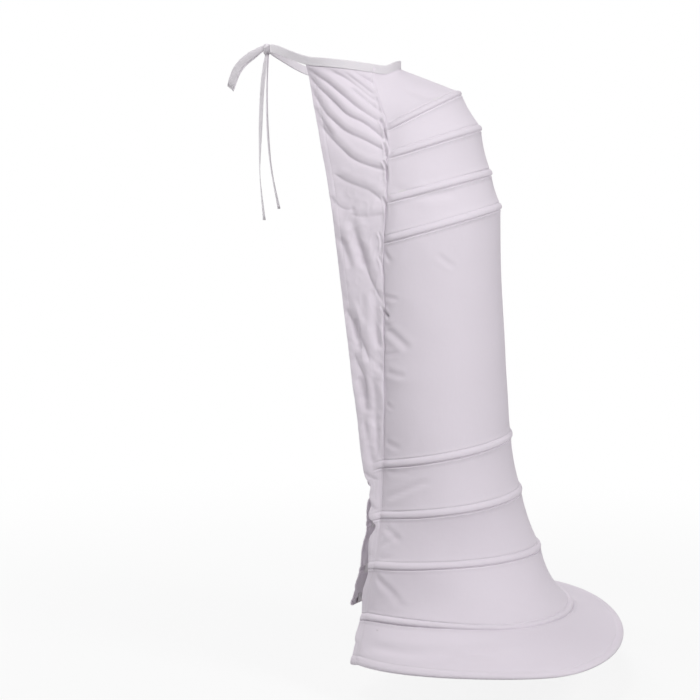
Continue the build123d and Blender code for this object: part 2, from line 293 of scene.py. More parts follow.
def side_base():
    """Outer face of the left side panel before its folds."""
    around = waist_line(np.array([FRONT_EDGE_ANGLE, SEAM_ANGLE]), CLOTH / 2, -BAND_HEIGHT / 2)
    shares = side_shares(np.linalg.norm(around[1] - around[0]))
    levels = [top_rows(FRONT_EDGE_ANGLE + (SEAM_ANGLE - FRONT_EDGE_ANGLE) * shares)]
    edges = level_rows(edge_line)
    seams = level_rows(lambda number: cloth_line(number, np.array([0.0])))
    for number, (edge_rows, seam_rows) in enumerate(zip(edges, seams)):
        swell = 0.008 * 0.7**number
        rows = []
        for edge, seam in zip(edge_rows, seam_rows):
            shares = side_shares(np.linalg.norm(seam - edge))[:, None]
            bulge = np.array([swell, 0, 0]) * 4 * shares * (1 - shares)
            rows.append(edge * (1 - shares) + seam * shares + bulge)
        levels.append(rows)
    return with_bays(levels, SIDE_BAYS)


# Shaping
def outward_of(grid, sign=1.0):
    """Outward directions of a grid whose rows run down and whose columns run from the left seam back."""
    down, along = np.gradient(grid, axis=0), np.gradient(grid, axis=1)
    return unit(np.cross(down, along)) * sign


def row_lengths(grid):
    """Distance along each row from its start."""
    steps = np.linalg.norm(np.diff(grid, axis=1), axis=2)
    return np.concatenate([np.zeros((len(grid), 1)), np.cumsum(steps, axis=1)], axis=1)


def column_lengths(grid):
    steps = np.linalg.norm(np.diff(grid, axis=0), axis=2)
    return np.concatenate([np.zeros((1, grid.shape[1])), np.cumsum(steps, axis=0)], axis=0)


def seen_at(points):
    """Pixels of the photograph at which points are seen, those of the right side as if on the left."""
    ray = np.abs(points) * [1, 0, 0] + points * [0, 1, 1] - EYE
    depth = -ray[..., 0] * cos(PITCH) - ray[..., 2] * sin(PITCH)
    height = -ray[..., 0] * sin(PITCH) + ray[..., 2] * cos(PITCH)
    across = MIDDLE_PIXEL + FOCAL_PIXELS * ray[..., 1] / depth
    return np.stack([across, MIDDLE_PIXEL - FOCAL_PIXELS * height / depth], -1)


def rounded(line):
    """A drawn line with its corners cut twice."""
    line = np.array(line, dtype=float)
    for _ in range(2):
        cuts = np.stack([0.75 * line[:-1] + 0.25 * line[1:], 0.25 * line[:-1] + 0.75 * line[1:]], 1)
        line = np.concatenate([line[:1], cuts.reshape(-1, 2), line[-1:]])
    return line


def beside_line(pixels, line):
    """Distance of pixels from a line, positive below it, and the share of the line at the nearest point."""
    lengths = np.linalg.norm(np.diff(line, axis=0), axis=1)
    nearest = np.full(pixels.shape[:-1], np.inf)
    share = np.zeros(pixels.shape[:-1])
    for start, end, length, before in zip(line, line[1:], lengths, np.cumsum(lengths) - lengths):
        along = np.clip((pixels - start) @ (end - start) / length**2, 0, 1)
        offset = pixels - start
        distance = np.linalg.norm(offset - along[..., None] * (end - start), axis=-1)
        below = np.sign((end - start)[0] * offset[..., 1] - (end - start)[1] * offset[..., 0])
        closer = distance < np.abs(nearest)
        nearest = np.where(closer, distance * below, nearest)
        share = np.where(closer, (before + along * length) / lengths.sum(), share)
    return nearest, share


def valley(across):
    """A crease with a soft shoulder on each side."""
    return 0.5 * bell(np.abs(across) - 2.1) - bell(across)


def overlap(across):
    """A fold that hangs over a sharp crease: the cloth falls steeply to it and rises slowly below."""
    return 0.35 * bell((across + 3.2) / 1.8) - np.exp(-np.abs(across) / np.where(across < 0, 0.8, 2.4))


def crumple(points, size, seed):
    """Small facets with sharp creases between them, as handled cloth keeps."""
    bent = points + 0.2 * size * np.stack([waviness(points, size, seed + 5 + i) for i in range(3)], -1)
    return 1 - 3.2 * np.abs(waviness(bent, size, seed))


def creased(pixels, creases, profile):
    """Height of the cloth from creases drawn on the photograph."""
    height = np.zeros(pixels.shape[:-1])
    for crease in creases:
        line = rounded(crease.line)
        margin = 8 * crease.width
        near = ((pixels > line.min(0) - margin) & (pixels < line.max(0) + margin)).all(-1)
        distance, share = beside_line(pixels[near], line)
        ends = smooth_step(share / 0.14) * smooth_step((1 - share) / 0.14)
        height[near] += crease.depth * ends * profile(distance / crease.width)
    return height / 1000


def row_shift(pixels, notches):
    """How far a line is moved along the rows, from places on it in the photograph."""
    return sum(reach / 1000 * bell((pixels[..., 1] - row) / half) for row, half, reach in notches)


def waviness(points, size, seed):
    """Soft unevenness between -1 and 1 of about that size, the same on every run."""
    shift = Vector((seed * 7.3, seed * 3.1, seed * 5.7))
    flat = points.reshape(-1, 3) / size
    values = [noise.noise(Vector(point) + shift) for point in flat]
    return np.array(values).reshape(points.shape[:-1])


def grid_faces(rows, columns, first=0, turned=False):
    index = np.arange(rows * columns).reshape(rows, columns) + first
    faces = np.stack([index[:-1, :-1], index[1:, :-1], index[1:, 1:], index[:-1, 1:]], -1).reshape(-1, 4)
    return faces[:, ::-1] if turned else faces


def rim_faces(rows, columns):
    """Faces that join the borders of two equal grids, the second one after the first."""
    index = np.arange(rows * columns).reshape(rows, columns)
    border = np.concatenate([index[0, :-1], index[:-1, -1], index[-1, :0:-1], index[:0:-1, 0]])
    following = np.roll(border, -1)
    second = rows * columns
    return np.stack([border, following, following + second, border + second], -1)


def linked(name, data):
    """A new object in the scene."""
    thing = bpy.data.objects.new(name, data)
    bpy.context.scene.collection.objects.link(thing)
    return thing


def smooth_mesh(name, points, faces):
    mesh = bpy.data.meshes.new(name)
    mesh.from_pydata(points.tolist(), [], faces.tolist())
    mesh.polygons.foreach_set("use_smooth", np.ones(len(faces), dtype=bool))
    mesh.update()
    return mesh


def cloth_piece(name, outer, inner):
    """Cloth between two equal grids of points, with its own UV map in metres along the weave."""
    rows, columns = outer.shape[:2]
    points = np.concatenate([outer.reshape(-1, 3), inner.reshape(-1, 3)])
    faces = np.concatenate([
        grid_faces(rows, columns),
        grid_faces(rows, columns, rows * columns, turned=True),
        rim_faces(rows, columns),
    ])
    mesh = smooth_mesh(name, points, faces)
    weave = np.stack([row_lengths(outer), column_lengths(outer)], -1).reshape(-1, 2)
    weave = np.concatenate([weave, weave])
    layer = mesh.uv_layers.new(name="weave")
    corners = np.empty(len(mesh.loops), dtype=np.int32)
    mesh.loops.foreach_get("vertex_index", corners)
    layer.data.foreach_set("uv", weave[corners].astype(np.float32).ravel())
    return linked(name, mesh)


def offset_piece(name, outer, outward, thickness):
    return cloth_piece(name, outer, outer - outward * np.asarray(thickness)[..., None])


def tape_sides(middle, outward):
    """Outer and inner face of a tape, from the surface in its middle."""
    return middle + outward * TAPE / 2, middle - outward * TAPE / 2


def placed(piece, material, slot, *nodes):
    """Hangs a new piece on the cage with its finish, and hides the CAD nodes that it stands for."""
    piece.data.materials.append(material)
    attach(piece, "root")
    if nodes:
        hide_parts(*nodes)
    return piece


# Panels
def ridge_height(steps, crown):
    """Ridge over a steel, steeper below than above, with the casing tape's margins showing beside it."""
    reach = np.abs(steps)
    steepness = np.where(steps > 0, 4.5, 1.9)
    ridge = crown * np.clip(1 - (reach / RIDGE_HALF) ** steepness, 0, None)
    margin = smooth_step((reach - CHANNEL_HALF) / 0.001) * smooth_step((CASING_MARGIN - reach) / 0.001)
    return ridge + np.where(steps > 0, 0.0007, 0.0003) * margin


def hem_height(steps):
    """Edge of the hem, full over its steel and turned under in a soft roll."""
    swell = HEM_SWELL * smooth_step((0.0135 - steps) / 0.004)
    roll = np.clip(1 - steps / HEM_ROLL, 0, 1)
    return swell - HEM_ROLL_DEPTH * (1 - np.sqrt(1 - roll**2))


def stitch_groove(rows):
    """How deep the stitches draw the cloth in on each row."""
    hoop = np.where(rows.step > 0, 0.0010, 0.0003) * bell((np.abs(rows.step) - CHANNEL_HALF) / 0.0006)
    hem = 0.0003 * bell((rows.step - HEM_STITCH) / 0.0006)
    return np.where(rows.hoop == HEM, hem, np.where(rows.hoop > 0, hoop, 0.0))


# How far the middle of each bay draws in
BAY_HOLLOW = np.array([0.0, 1.5, 1.5, 1.0, 3.0, 2.0, 3.0, 7.0, 1.5]) / 1000

# Pulls in the back panel, most of them beside the seam
PUCKERS = (
    Crease(0.8, 1.8, ((383, 250), (387, 256), (391, 263))),
    Crease(0.7, 2.4, ((437, 255), (446, 261), (455, 268))),
    Crease(0.9, 1.7, ((383, 296), (390, 298), (399, 300))),
    Crease(1.8, 1.1, ((382, 308), (385, 313), (389, 317))),
    Crease(1.3, 1.4, ((384, 325), (389, 325), (395, 323))),
    Crease(1.1, 3.0, ((385, 327), (396, 337), (409, 350))),
    Crease(1.2, 1.4, ((383, 354), (390, 355), (399, 352))),
    Crease(0.9, 2.6, ((387, 371), (395, 375), (405, 377))),
    Crease(1.0, 1.4, ((386, 403), (390, 407), (394, 409))),
    Crease(0.8, 2.2, ((386, 441), (392, 446), (399, 448))),
    Crease(0.7, 2.0, ((386, 470), (396, 474), (410, 473))),
    Crease(1.0, 2.6, ((383, 499), (396, 494), (412, 487), (432, 480))),
    Crease(1.4, 1.3, ((374, 533), (379, 534), (384, 537))),
    Crease(1.0, 2.4, ((384, 527), (393, 534), (400, 543))),
    Crease(0.9, 2.0, ((378, 547), (388, 543), (397, 535))),
    Crease(0.9, 2.4, ((370, 555), (380, 560), (392, 557))),
    Crease(1.4, 2.6, ((371, 572), (383, 584), (394, 596), (401, 609))),
    Crease(0.8, 2.6, ((386, 618), (396, 612), (404, 603))),
    Crease(1.2, 4.0, ((366, 645), (400, 652), (440, 652), (500, 646))),
    Crease(1.3, 2.2, ((436, 657), (470, 651), (500, 643), (524, 639))),
    Crease(0.8, 1.6, ((462, 658), (478, 660), (497, 660))),
    Crease(0.9, 3.0, ((405, 88), (425, 96), (448, 100))),
    Crease(0.8, 4.0, ((392, 190), (420, 196), (460, 192))),
)

# Folds of the side panel from the waistband and the seam, and the hollows between them
SIDE_FOLDS = (
    Crease(3.0, 1.3, ((347, 66), (354, 71), (364, 77), (378, 85))),
    Crease(2.4, 1.2, ((337, 66), (348, 74), (361, 84), (377, 96))),
    Crease(3.4, 1.7, ((322, 64), (329, 68.5), (338, 74), (345, 77), (353, 82.5), (364, 91), (382, 105))),
    Crease(2.8, 1.3, ((350, 87), (357, 92), (367, 100), (384, 114))),
    Crease(4.0, 1.9, (
        (299, 61), (307, 67), (319, 77), (327, 82), (336, 89.5), (347, 98.5), (362.5, 111), (388, 126))),
    Crease(4.2, 2.0, (
        (304, 70), (311.5, 79), (319, 88), (329, 97), (337, 105), (348, 116), (367, 123), (392, 146))),
    Crease(3.6, 2.0, (
        (308, 82), (315, 95), (322, 107), (327, 115), (336, 123), (346, 132), (362, 138), (392, 154))),
    Crease(2.2, 1.7, ((314, 106), (320, 117), (328, 129), (333, 137))),
    Crease(3.4, 2.2, ((317, 118), (324, 130), (331, 138), (343, 150), (351, 158), (366, 165), (392, 172))),
    Crease(2.6, 2.2, (
        (332, 172), (340.5, 178), (347.5, 182), (358, 186), (369, 190), (378, 197), (391, 208))),
    Crease(1.6, 2.0, ((330, 196), (338, 206), (346, 210), (356, 208))),
    Crease(1.8, 2.2, ((350, 214), (362, 217), (374, 216), (392, 212))),
    Crease(3.2, 2.4, ((358, 240), (364, 256), (369, 276), (378, 294), (384, 304))),
    Crease(2.6, 2.6, ((344, 306), (351, 318), (360, 336), (366, 350), (370, 364))),
    Crease(2.4, 2.8, ((353, 352), (359, 366), (366, 380), (366, 404))),
    Crease(1.6, 1.8, ((362, 470), (370, 478), (380, 480), (392, 478))),
    Crease(2.0, 1.8, ((364, 500), (372, 507), (380, 511), (392, 510))),
    Crease(2.4, 1.8, ((366, 532), (374, 530), (384, 532), (394, 538))),
    Crease(1.6, 2.0, ((364, 552), (372, 556), (382, 556), (394, 550))),
    Crease(1.8, 2.0, ((362, 600), (370, 606), (378, 608), (388, 606))),
    Crease(2.0, 1.6, ((352, 640), (360, 645), (368, 646), (378, 650))),
)
SIDE_HOLLOWS = (
    Crease(2.2, 4.0, ((350, 218), (355, 234), (360, 252), (364, 270))),
    Crease(2.6, 3.6, ((374, 288), (375, 310), (376, 332), (379, 352))),
    Crease(1.6, 3.0, ((340, 236), (346, 252), (352, 270))),
    Crease(2.0, 3.4, ((354, 318), (358, 334), (360, 352))),
    Crease(2.0, 3.6, ((358, 376), (363, 394), (367, 414))),
    Crease(1.6, 3.4, ((372, 366), (375, 396), (376, 430), (377, 462))),
    Crease(1.6, 3.0, ((364, 420), (368, 440), (372, 466))),
    Crease(1.4, 4.0, ((364, 566), (372, 582), (380, 604))),
)

# Where the front edge is drawn in and the seam is moved back: row of the photograph, half the height in
# rows, and millimetres
EDGE_NOTCHES = (
    (488, 8, 8.0), (504, 8, 6.5), (528, 7.5, 12.0), (556, 8, -1.5), (592, 12, -3.0), (616, 7, 1.5),
    (634, 8, -2.0),
)
SEAM_NOTCHES = (
    (118, 5, 2.6), (131, 5, -2.4), (148, 5, 1.8), (160, 4, -1.6), (200, 8, 1.0), (262, 10, -1.6),
    (306, 8, 1.4), (348, 8, 1.2), (402, 10, 1.0),
)

# Short pulls at the seam where the hoops' channels end
SEAM_MARKS = (
    Crease(1.5, 0.9, ((376, 96), (378, 103), (380, 112))),
    Crease(3.2, 1.0, ((379, 117), (384, 128), (386, 141))),
    Crease(2.6, 1.0, ((383, 142), (386, 150), (386, 158))),
    Crease(3.0, 1.0, ((382, 160), (387, 168), (387, 182))),
    Crease(1.8, 1.0, ((382, 196), (386, 204), (386, 216))),
    Crease(1.4, 1.0, ((378, 232), (382, 240), (381, 252))),
    Crease(1.4, 1.0, ((378, 256), (382, 264), (383, 276))),
    Crease(1.6, 1.0, ((381, 306), (384, 312), (390, 317))),
)

# How steeply the panels meet at the seam over the train, by height
SLANT_HEIGHTS = (-0.80, -0.70, -0.60, -0.46)
SEAM_SLANTS = (0.0, 0.4, 0.5, 0.0)

# Faces and outward directions of the pieces made so far, for their stitches
made = {}


# Settings
def colour_field(name, description, default):
    return FloatVectorProperty(
        name=name, description=description, default=default, subtype="COLOR", size=3, min=0, max=1)


def length_field(name, description, default, low, high, precision=4):
    return FloatProperty(
        name=name, description=description, default=default, min=low, max=high, precision=precision,
        unit="LENGTH")


def factor_field(name, description):
    return FloatProperty(name=name, description=description, default=1.0, min=0, max=2, subtype="FACTOR")


def power_field(name, description, default):
    return FloatProperty(name=name, description=description, default=default, min=0, max=500, unit="POWER")


class CottonSettings(PropertyGroup):
    colour: colour_field("Cotton colour", "Base colour of the panels' cotton", (0.765, 0.705, 0.775))
    thread_spacing: length_field(
        "Thread spacing", "Distance between the cotton's threads", 0.0005, 0.0002, 0.002)
    ridge: length_field("Ridge height", "How far the cloth stands out over a hoop", 0.0034, 0.002, 0.006)
    hollow: factor_field("Bay hollow", "How much the cloth draws in between the hoops, as a share")
    creases: factor_field("Creases", "Strength of the cloth's folds and puckers")


class TapeSettings(PropertyGroup):
    colour: colour_field(
        "Twill colour", "Base colour of the casing tapes, facing and inner ties", (0.79, 0.75, 0.785))
    band_colour: colour_field(
        "Band colour", "Base colour of the waistband and its ties", (0.81, 0.775, 0.815))
    rib_spacing: length_field(
        "Rib spacing", "Distance between the ribs of the tapes' weave", 0.0011, 0.0004, 0.003)


class StitchSettings(PropertyGroup):
    pitch: length_field("Stitch length", "Distance from one stitch to the next", 0.003, 0.0015, 0.006)
    thread: length_field("Thread", "Thickness of the sewing thread", 0.00045, 0.0002, 0.001, precision=5)
    colour: colour_field("Thread colour", "Base colour of the sewing thread", (0.82, 0.81, 0.83))


class SteelSettings(PropertyGroup):
    colour: colour_field("Steel colour", "Base colour of the spring steel", (0.33, 0.34, 0.37))
    tip_colour: colour_field("Tip colour", "Base colour of the crimped tips", (0.62, 0.47, 0.22))


class StageSettings(PropertyGroup):
    floor_gap: length_field("Floor gap", "Distance from the hem down to the floor", 0.055, 0.0, 0.5)
    key_power: power_field("Main lamp", "Power of the lamp above the camera's side", 27.0)
    side_power: power_field("Side lamp", "Power of the lamp beyond the train on the camera's side", 41.0)
    fill_power: power_field("Fill lamp", "Power of the lamp on the other side", 42.0)
    front_power: power_field("Front lamp", "Power of the lamp that shines in through the open front", 24.0)
    surround: FloatProperty(
        name="Surround", description="Brightness of the pale room round the object",
        default=0.17, min=0, max=2)


# Materials
def add_node(tree, kind, sockets=None, **settings):
    """Adds a shader node; a socket takes a constant or another node's output."""
    made_node = tree.nodes.new("ShaderNode" + kind)
    for name, value in settings.items():
        setattr(made_node, name, value)
    for name, value in (sockets or {}).items():
        if isinstance(value, bpy.types.NodeSocket):
            tree.links.new(value, made_node.inputs[name])
        else:
            made_node.inputs[name].default_value = value
    return made_node


def start_material(name, roughness, metallic=0.0, sheen=0.0):
    material = bpy.data.materials.new(name)
    material.use_nodes = True
    shader = material.node_tree.nodes["Principled BSDF"]
    shader.inputs["Roughness"].default_value = roughness
    shader.inputs["Metallic"].default_value = metallic
    shader.inputs["Sheen Weight"].default_value = sheen
    shader.inputs["Sheen Roughness"].default_value = 0.4
    return material, material.node_tree, shader


def bands(tree, vector, spacing, direction):
    """Even bands across one direction of a pattern, as threads or ribs lie."""
    return add_node(tree, "TexWave", {
        "Vector": vector,
        "Scale": 2 * pi / (20 * spacing),
        "Distortion": 0.4,
        "Detail": 1.0,
        "Detail Scale": 0.6,
    }, wave_type="BANDS", bands_direction=direction, wave_profile="SIN").outputs["Fac"]


def mixed(tree, factor, first, second):
    colours = {"Factor": factor, "A": first, "B": second}
    return add_node(tree, "Mix", colours, data_type="RGBA").outputs["Result"]


def clouds(tree, vector, scale, detail, roughness=0.5):
    """A soft uneven pattern."""
    sockets = {"Vector": vector, "Scale": scale, "Detail": detail, "Roughness": roughness}
    return add_node(tree, "TexNoise", sockets).outputs["Fac"]


def object_place(tree):
    return add_node(tree, "TexCoord").outputs["Object"]


def weave_place(tree):
    """Place along the cloth's weave, from the piece's own UV map."""
    return add_node(tree, "UVMap", uv_map="weave").outputs["UV"]


def tinted(tree, vector, colour, scale, spread):
    """Base colour with a faint uneven tone."""
    tone = clouds(tree, vector, scale, 4.0)
    darker = [channel * (1 - spread) for channel in colour]
    lighter = [min(channel * (1 + spread), 1.0) for channel in colour]
    return mixed(tree, tone, (*darker, 1), (*lighter, 1))


def raised(tree, height, distance, strength=1.0, normal=None):
    sockets = {"Height": height, "Distance": distance, "Strength": strength}
    if normal is not None:
        sockets["Normal"] = normal
    return add_node(tree, "Bump", sockets).outputs["Normal"]


def calculated(tree, operation, first, second):
    """A Math node on two values or outputs."""
    result = add_node(tree, "Math", operation=operation)
    for socket, value in zip(result.inputs, (first, second)):
        if isinstance(value, bpy.types.NodeSocket):
            tree.links.new(value, socket)
        else:
            socket.default_value = value
    return result.outputs[0]


def cotton(settings):
    """Plain-woven cotton: crossing threads with slubs, the small dents of a washed cloth, and painted shade
    between the threads.
    """
    material, tree, shader = start_material("woven_cotton", 0.88, sheen=0.12)
    weave = weave_place(tree)
    place = object_place(tree)
    warp = bands(tree, weave, settings.thread_spacing * 2, "X")
    weft = bands(tree, weave, settings.thread_spacing * 2, "Y")
    crossings = calculated(tree, "MULTIPLY", warp, weft)
    threads = calculated(tree, "ADD", crossings, calculated(tree, "MAXIMUM", warp, weft))
    slub_map = add_node(tree, "Mapping", {"Vector": weave, "Scale": (900.0, 60.0, 1.0)}).outputs["Vector"]
    slubs = clouds(tree, slub_map, 1.0, 2.0)
    soft = raised(tree, clouds(tree, place, 34.0, 5.0, 0.55), 0.0012, 0.55)
    slubby = raised(tree, slubs, 0.00008, 0.5, soft)
    woven = raised(tree, threads, 0.00009, 0.6, slubby)
    tree.links.new(woven, shader.inputs["Normal"])
    base = tinted(tree, place, settings.colour, 9.0, 0.02)
    # Painted shade: the colour is 7% darker in the gaps between the threads
    between = [channel * 0.93 for channel in settings.colour]
    thread_gap_shade = calculated(tree, "SUBTRACT", 1.0, calculated(tree, "MAXIMUM", warp, weft))
    tree.links.new(mixed(tree, thread_gap_shade, base, (*between, 1)), shader.inputs["Base Color"])
    return material


def twill(name, colour, spacing, rib_valley_shade=0.88):
    """Tape with slanting ribs, crossed by finer threads, with painted shade that darkens the colour between
    the ribs.
    """
    material, tree, shader = start_material(name, 0.8, sheen=0.15)
    weave = weave_place(tree)
    turned = add_node(tree, "Mapping", {"Vector": weave, "Rotation": (0, 0, radians(52))}).outputs["Vector"]
    ribs = bands(tree, turned, spacing, "X")
    threads = bands(tree, weave, spacing * 0.55, "Y")
    height = calculated(tree, "ADD", ribs, calculated(tree, "MULTIPLY", threads, 0.35))
    fuzzy = raised(tree, clouds(tree, weave, 900.0, 3.0), 0.00008, 0.4)
    tree.links.new(raised(tree, height, 0.00014, 0.8, fuzzy), shader.inputs["Normal"])
    # Painted shade: the colour is darker between the ribs than on their crowns
    darker = [channel * rib_valley_shade for channel in colour]
    crowns = tinted(tree, weave, colour, 20.0, 0.02)
    tree.links.new(mixed(tree, ribs, (*darker, 1), crowns), shader.inputs["Base Color"])
    return material


def thread_material(settings):
    """Twisted cotton thread, a little shinier than the cloth."""
    material, tree, shader = start_material("sewing_thread", 0.6, sheen=0.1)
    place = object_place(tree)
    twist = raised(tree, clouds(tree, place, 2600.0, 1.0), 0.0001, 0.5)
    tree.links.new(twist, shader.inputs["Normal"])
    tree.links.new(tinted(tree, place, settings.colour, 700.0, 0.05), shader.inputs["Base Color"])
    return material


def metal(name, colour, roughness, grain):
    """Rolled metal with fine lengthwise marks and a slightly uneven finish."""
    material, tree, shader = start_material(name, roughness, metallic=1.0)
    place = object_place(tree)
    stretched = add_node(tree, "Mapping", {"Vector": place, "Scale": (60.0, 60.0, grain)}).outputs["Vector"]
    marks = raised(tree, clouds(tree, stretched, 1.0, 3.0), 0.00005, 0.4)
    tree.links.new(marks, shader.inputs["Normal"])
    tree.links.new(tinted(tree, place, colour, 45.0, 0.12), shader.inputs["Base Color"])
    wear = {"Value": clouds(tree, place, 60.0, 3.0), "To Min": roughness * 0.8, "To Max": roughness * 1.3}
    worn = add_node(tree, "MapRange", wear).outputs["Result"]
    tree.links.new(worn, shader.inputs["Roughness"])
    return material


def shared_material(name, make, *values):
    return bpy.data.materials.get(name) or make(*values)


def cotton_material():
    return shared_material("woven_cotton", cotton, bpy.context.scene.crinoline_cotton)


def tape_material():
    settings = bpy.context.scene.crinoline_tape
    return shared_material("twill_weave", twill, "twill_weave", settings.colour, settings.rib_spacing)


def band_material():
    """The band's tape is woven more finely than the twill, with flatter ribs and lighter painted shade
    between them.
    """
    settings = bpy.context.scene.crinoline_tape
    spacing = settings.rib_spacing * 0.7
    return shared_material("band_weave", twill, "band_weave", settings.band_colour, spacing, 0.95)


# Cloth pieces
def ridge_end(from_seam, hoop):
    """Share of its full height that a ridge has near the seam: the lower ones run on across it."""
    through = np.where(hoop > UPPER_HOOPS, 0.75, 0.0)
    return through + (1 - through) * smooth_step(from_seam / 0.012)


def above_train(points):
    """1 well above the lower hoops and 0 from hoop 6 down, where the seam lies flat and hardly shows."""
    return smooth_step((points[..., 2] + 0.70) / 0.15)


def clear_of_seam(base, from_seam):
    """0 at the seam and 1 clear of it, at once above the train and slowly where the seam hardly shows."""
    return smooth_step(from_seam / (0.003 + 0.016 * (1 - above_train(base))))


def seam_shift(base, from_seam):
    """How far back the seam and the cloth beside it are moved."""
    return row_shift(seen_at(base), SEAM_NOTCHES) * smooth_step(1 - from_seam / SEAM_SHIFT_REACH)


def seam_pucker(base, from_seam):
    """Short creases that the seam's stitches pull into the cloth beside it."""
    spread = bell(from_seam / 0.009) * smooth_step(from_seam / 0.0012)
    strength = smooth_step((waviness(base, 0.05, 41) + 0.25) / 0.5) * smooth_step((base[..., 2] + 0.66) / 0.2)
    return 0.0012 * waviness(base * [0.25, 0.25, 1], 0.007, 42) * spread * (0.25 + strength)


def looseness(rows):
    """How freely the cloth can crease on each row: hardly where it is tight over a steel."""
    beside_steel = np.clip((np.abs(rows.step) - 0.004) / 0.003, 0.15, 1)
    free = np.where(rows.hoop > 0, beside_steel, 1.0)
    return np.where(rows.hoop == HEM, 0.3, free)


def back_softness(base, from_seam):
    """The puckers seen in the photograph, soft unevenness, and small facets beside the seams."""
    depth = np.where(base[..., 0] > 0, 1.8, 1.4)
    puckers = depth * creased(seen_at(base), PUCKERS, valley)
    uneven = 0.0006 * waviness(base, 0.06, 1) + 0.0009 * waviness(base, 0.16, 2)
    facets = 0.0011 * crumple(base * [1, 1, 0.7], 0.055, 3) * bell(from_seam / 0.06)
    return puckers + uneven + facets + seam_pucker(base, from_seam)


def back_panel_grid(settings):
    base = back_base()
    rows = row_facts(BACK_BAYS)
    lengths = row_lengths(base)
    from_seam = np.minimum(lengths, lengths[:, -1:] - lengths)
    base[..., 1] += seam_shift(base, from_seam)
    outward = outward_of(base)
    on_hoop, on_hem = (rows.hoop > 0) & (rows.hoop < HEM), rows.hoop == HEM
    ridge = ridge_height(rows.step, settings.ridge) * ridge_end(from_seam, rows.hoop)
    height = np.where(on_hoop, ridge, 0.0)
    height = np.where(on_hem, hem_height(rows.step), height)
    hollow = 4 * rows.share * (1 - rows.share) * BAY_HOLLOW[rows.bay]
    height = height - settings.hollow * hollow * smooth_step(from_seam / 0.09)
    soft = back_softness(base, from_seam) * looseness(rows) * clear_of_seam(base, from_seam)
    height = height + settings.creases * (soft + creased(seen_at(base), SEAM_MARKS, valley))
    tightness = np.clip(0.75 + 0.6 * waviness(base, 0.045, 45), 0.2, 1)
    groove = tightness * stitch_groove(rows) + 0.0005 * above_train(base) * bell(from_seam / 0.0015)
    return base + outward * (height - groove)[..., None], outward, CLOTH - np.minimum(groove, 0.0007)


class CrinolineBackPanel(Operator):
    """Sews the back panel: cotton pulled over the hoops, with a ridge along each channel"""

    bl_idname = "crinoline.back_panel"
    bl_label = "Back panel"

    def execute(self, context):
        outer, outward, thickness = back_panel_grid(context.scene.crinoline_cotton)
        piece = offset_piece("back_panel_cotton", outer, outward, thickness)
        placed(piece, cotton_material(), "white_cotton", "back_panel")
        made["back"] = (outer, outward)
        return {"FINISHED"}


def drawn_in(base, strength):
    """The panel with its front edge drawn in and let out along its rows."""
    lengths = row_lengths(base)
    reach = np.minimum(EDGE_SHIFT_REACH, lengths[:, -1:])
    shift = row_shift(seen_at(base[:, :1]), EDGE_NOTCHES)
    along = unit(base[:, -1:] - base[:, :1])
    base = base + along * (strength * shift * smooth_step(1 - lengths / reach))[..., None]
    base[..., 1] += seam_shift(base, lengths[:, -1:] - lengths)
    return base


def seam_hollow(base, from_seam, width):
    """How far the side panel draws in over the train, where it runs on from the back panel at a slant."""
    slant = np.interp(base[..., 2], SLANT_HEIGHTS, SEAM_SLANTS)
    share = from_seam / width
    return slant * width * share * (1 - share) ** 2


def front_hem_height(base, lengths, width):
    """The turned hem of the front edge, with the groove of its stitches, nearly flat low down."""
    turned = smooth_step((width - lengths) / 0.0011) - 0.6 * bell((lengths - width) / 0.0006)
    pressed = 0.55 + 0.45 * waviness(base, 0.03, 43)
    return 0.0006 * turned * pressed * (0.15 + 0.85 * smooth_step((base[..., 2] + 0.45) / 0.2))


def seam_lap(base, from_seam):
    """The raised edge of the side panel where it is sewn over the back panel."""
    sewn_over = above_train(base) * (0.65 + 0.6 * waviness(base, 0.025, 44))
    return 0.0014 * sewn_over * smooth_step((0.0042 - from_seam) / 0.0036)


def side_folds(base, strength, seed):
    """The folds seen in the photograph, soft unevenness, and crumpled facets from the third hoop down."""
    pixels = seen_at(base)
    folds = creased(pixels, SIDE_FOLDS, overlap) + creased(pixels, SIDE_HOLLOWS, valley)
    uneven = 0.0007 * waviness(base, 0.045, seed) + 0.0012 * waviness(base, 0.12, seed + 1)
    facets = 0.0019 * crumple(base * [1, 1, 0.45], 0.045, seed + 2) + 0.0004 * crumple(base, 0.016, seed + 3)
    return strength * folds + uneven + smooth_step((-0.15 - base[..., 2]) / 0.1) * facets


def side_panel_grid(settings, strength, seed):
    """Left side panel with its folds; the other one differs in strength and seed before it is mirrored."""
    base = drawn_in(side_base(), strength)
    rows = row_facts(SIDE_BAYS)
    outward = outward_of(base)
    lengths = row_lengths(base)
    from_seam = lengths[:, -1:] - lengths
    on_hoop = (rows.hoop > UPPER_HOOPS) & (rows.hoop < HEM)
    ridge = ridge_height(rows.step, 0.75 * settings.ridge) * smooth_step((0.022 - from_seam) / 0.02)
    ridge = np.where(on_hoop, ridge, 0.0)
    hem = np.where(rows.hoop == HEM, hem_height(rows.step) - stitch_groove(rows), 0.0)
    front_hem = FRONT_HEM * side_fit(lengths[:, -1:])
    height = front_hem_height(base, lengths, front_hem) + seam_lap(base, from_seam) + ridge + hem
    height = height - seam_hollow(base, from_seam, lengths[:, -1:])
    free = clear_of_seam(base, from_seam) * smooth_step((column_lengths(base) - 0.008) / 0.012)
    soft = side_folds(base, strength, seed) + seam_pucker(base, from_seam)
    height = height + settings.creases * (soft * free + creased(seen_at(base), SEAM_MARKS, valley))
    edge_wave = 0.0014 * waviness(base, 0.05, seed + 2) * smooth_step((0.03 - lengths) / 0.03)
    outer = base + outward * (height + edge_wave * free)[..., None]
    thickness = CLOTH + 0.0011 * smooth_step((front_hem - lengths) / 0.0008)
    return outer, outward, thickness


def mirrored(grid):
    """The same grid on the right side, its columns turned round so that it still faces outwards."""
    return (grid * [-1, 1, 1])[:, ::-1]


